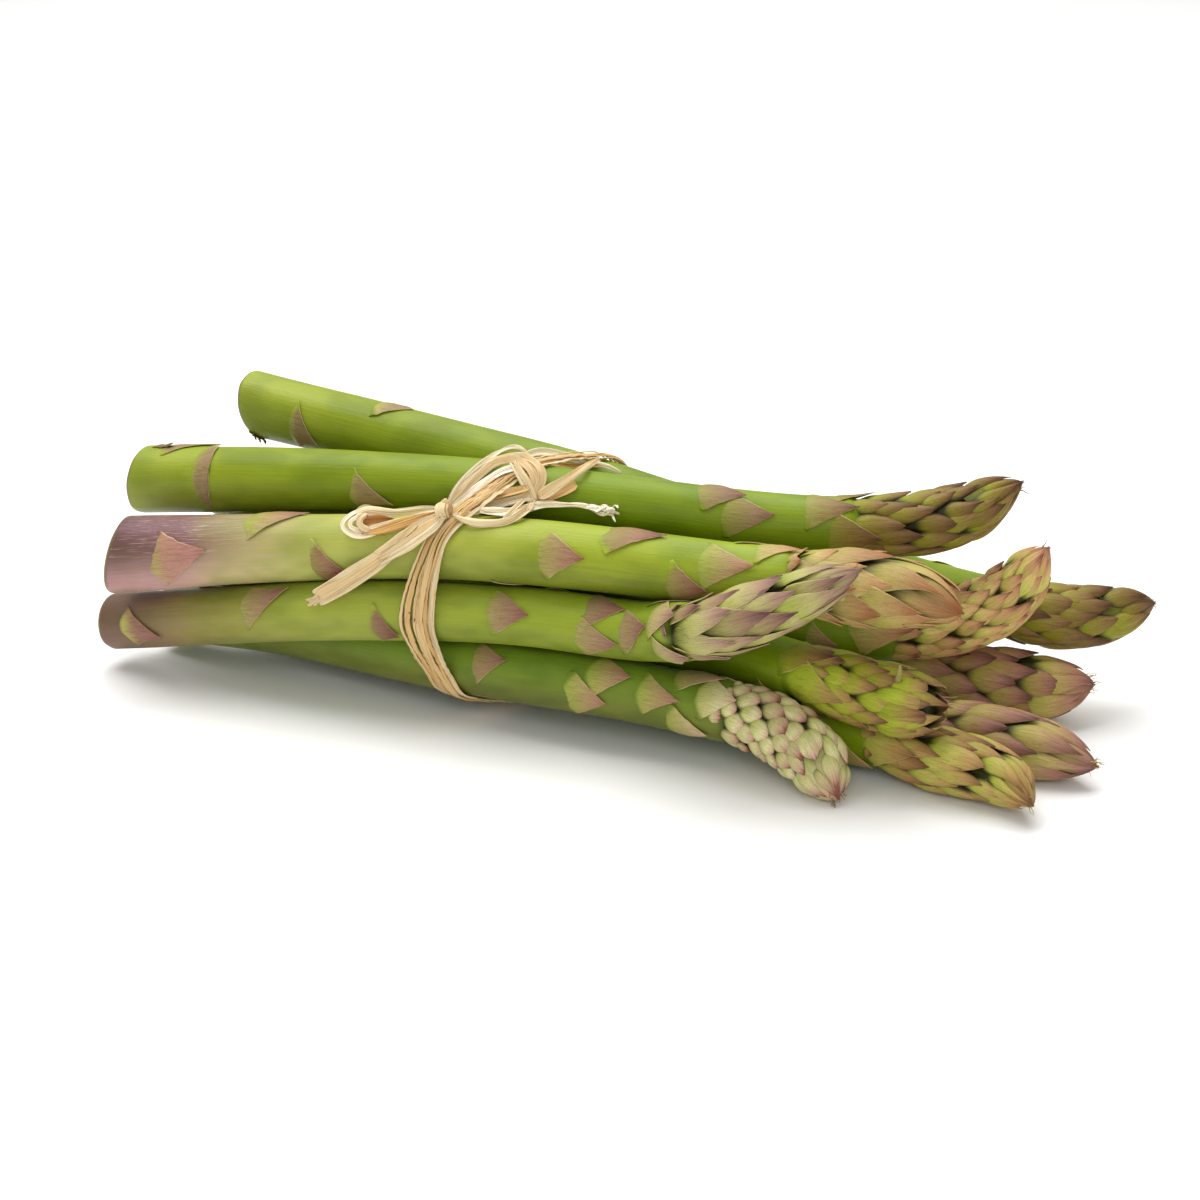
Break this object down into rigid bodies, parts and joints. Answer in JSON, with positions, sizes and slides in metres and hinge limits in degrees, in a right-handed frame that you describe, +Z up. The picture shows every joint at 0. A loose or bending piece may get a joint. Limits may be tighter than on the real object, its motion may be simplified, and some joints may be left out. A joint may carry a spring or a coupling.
{
  "type": "bunch of asparagus",
  "caption": "Bunch of green asparagus spears with scaly pointed heads, tied round the middle with a raffia bow and lying on a surface.",
  "frame": {"origin": "on the surface the bunch lies on, under the middle of its bounding box", "axes": "+X along the bunch from the cut butts to the tips, -Y towards its front, +Z up"},
  "size_m": [0.2376, 0.1089, 0.0649],
  "materials": {
    "spear_bright_green": "satin green asparagus skin with tan-pink scales",
    "spear_pink_butt": "satin asparagus skin, mauve and pink at the butt, green above",
    "spear_purple_butt": "satin asparagus skin, brown-purple at the butt, olive green above",
    "spear_deep_green": "satin deep green asparagus skin with tan-pink scales",
    "spear_purple_head": "satin asparagus skin with purple-brown heads",
    "raffia": "dry pale straw raffia, matt with a faint sheen"
  },
  "bodies": {
    "root": {"spear_top_back": "spear_bright_green", "spear_top_front": "spear_bright_green", "spear_front_upper": "spear_pink_butt", "spear_front_lower": "spear_purple_butt", "spear_front_bottom": "spear_deep_green", "spear_centre": "spear_deep_green", "spear_back_upper": "spear_purple_head", "spear_back_bottom": "spear_purple_head", "spear_middle": "spear_bright_green", "spear_middle_bottom": "spear_deep_green", "raffia_tie": "raffia", "raffia_tail_left": "raffia", "raffia_tail_right": "raffia"}
  },
  "joints": []
}
